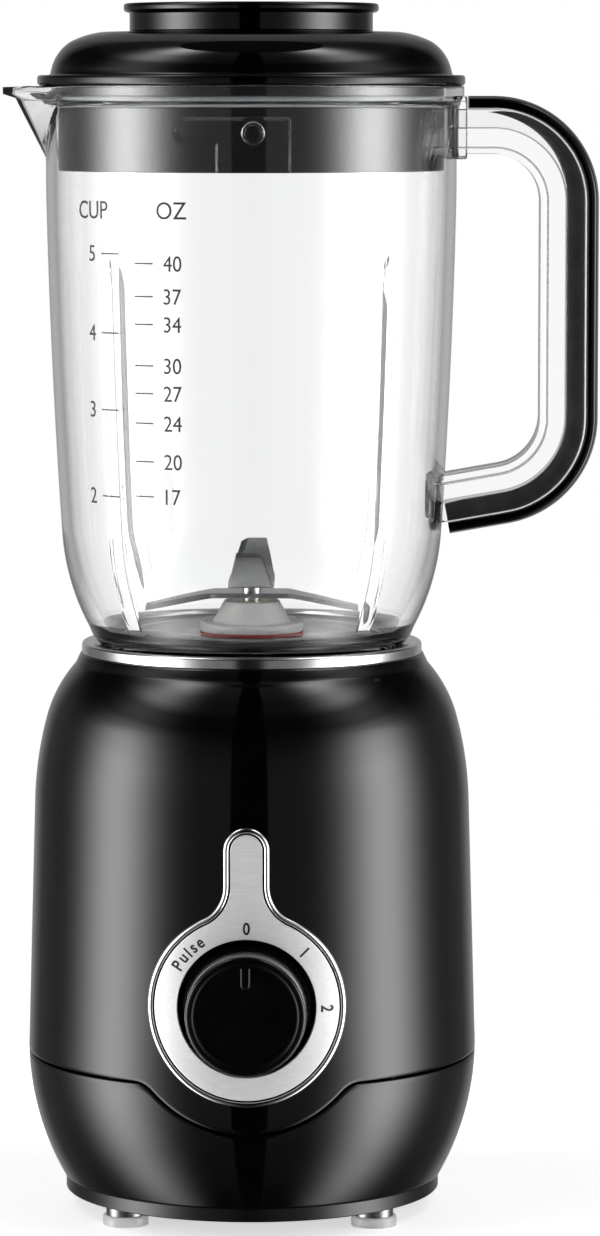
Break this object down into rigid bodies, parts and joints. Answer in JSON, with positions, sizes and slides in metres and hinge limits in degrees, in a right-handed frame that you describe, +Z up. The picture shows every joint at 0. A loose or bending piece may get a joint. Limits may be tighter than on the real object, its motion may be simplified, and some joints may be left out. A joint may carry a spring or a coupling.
{
  "type": "countertop blender",
  "caption": "Upright food blender: black round base with a front dial, clear spouted jar with a side handle, domed lid and measuring cap.",
  "frame": {"origin": "centre of the four feet in the plane that they rest on, on the jar's and the motor's axis", "axes": "+Z up along the motor axis; -Y is the front with the control dial; +X is the side of the handle, -X the side of the spout"},
  "size_m": [0.1824, 0.1563, 0.3721],
  "materials": {
    "gloss_black": "high gloss black",
    "clear": "clear polished plastic",
    "dark_clear": "high gloss dark grey",
    "silver": "polished plating",
    "satin_silver": "satin",
    "knob_dark": "satin dark grey",
    "plate_black": "fine texture",
    "foot_clear": "translucent soft",
    "foot_dark": "gloss",
    "steel": "brushed",
    "zinc": "zinc plated",
    "brass": "turned",
    "copper": "enamelled copper wire",
    "lamination": "laminated steel",
    "silicone": "soft matte",
    "red_silicone": "soft matte",
    "white_plastic": "moulded",
    "grey_plastic": "moulded",
    "carbon": "carbon"
  },
  "bodies": {
    "base": {"upper_housing": "gloss_black", "lower_housing": "gloss_black", "trim_ring": "silver", "bottom_plate": "plate_black", "housing_screws": "zinc", "cord_gland": "plate_black", "panel_bezel": "silver", "panel_plate": "satin_silver", "rotary_switch": "grey_plastic", "stator_core": "lamination", "field_coil_left": "copper", "field_coil_right": "copper", "upper_bracket": "zinc", "lower_bracket": "zinc", "upper_bearing": "steel", "lower_bearing": "steel", "brush_holder_left": "brass", "carbon_brush_left": "carbon", "brush_holder_right": "brass", "carbon_brush_right": "carbon", "motor_bolts": "zinc", "motor_mounts": "silicone", "motor_screws": "zinc", "fan_shroud": "grey_plastic", "shaft_seal": "red_silicone", "jar_seat_ring": "silicone", "interlock_switch": "grey_plastic", "foot_stem_1": "foot_dark", "foot_pad_1": "foot_clear", "foot_stem_2": "foot_dark", "foot_pad_2": "foot_clear", "foot_stem_3": "foot_dark", "foot_pad_3": "foot_clear", "foot_stem_4": "foot_dark", "foot_pad_4": "foot_clear"},
    "knob": {"speed_knob": "knob_dark", "switch_shaft": "white_plastic"},
    "plunger": {"interlock_plunger": "white_plastic"},
    "rotor": {"motor_shaft": "steel", "armature_core": "lamination", "armature_windings": "copper", "commutator": "brass", "cooling_fan": "grey_plastic", "drive_coupler": "silicone"},
    "jar": {"jar": "clear", "jar_handle": "clear", "handle_cover": "gloss_black", "blade_hub": "white_plastic", "hub_nut": "steel", "blade_gasket": "red_silicone", "lower_bush": "brass", "upper_bush": "brass"},
    "blades": {"blade_shaft": "steel", "driven_coupler": "grey_plastic", "lower_blade": "steel", "upper_blade": "steel", "blade_nut": "steel"},
    "lid": {"lid": "gloss_black", "lid_gasket": "silicone"},
    "cap": {"measuring_cap": "gloss_black"}
  },
  "joints": [
    {"name": "jar_lift", "type": "slide", "parent": "base", "child": "jar", "axis": [0, 0, 1], "range_m": [0, 0.06]},
    {"name": "lid_lift", "type": "slide", "parent": "jar", "child": "lid", "axis": [0, 0, 1], "range_m": [0, 0.05]},
    {"name": "cap_lift", "type": "slide", "parent": "lid", "child": "cap", "axis": [0, 0, 1], "range_m": [0, 0.045]},
    {"name": "knob_turn", "type": "hinge", "parent": "base", "child": "knob", "pos_m": [0, -0.0735, 0.0731], "axis": [0, 1, 0], "range_deg": [-45, 90]},
    {"name": "motor_spin", "type": "hinge", "parent": "base", "child": "rotor", "pos_m": [0, 0, 0.103], "axis": [0, 0, 1], "continuous": true},
    {"name": "blade_spin", "type": "hinge", "parent": "jar", "child": "blades", "pos_m": [0, 0, 0.18], "axis": [0, 0, 1], "continuous": true},
    {"name": "plunger_lift", "type": "slide", "parent": "base", "child": "plunger", "axis": [0, 0, 1], "range_m": [0, 0.003]}
  ],
  "couplings": [
    {"joint": "blade_spin", "follows": "motor_spin", "ratio": 1},
    {"joint": "plunger_lift", "follows": "jar_lift", "ratio": 0.05}
  ]
}
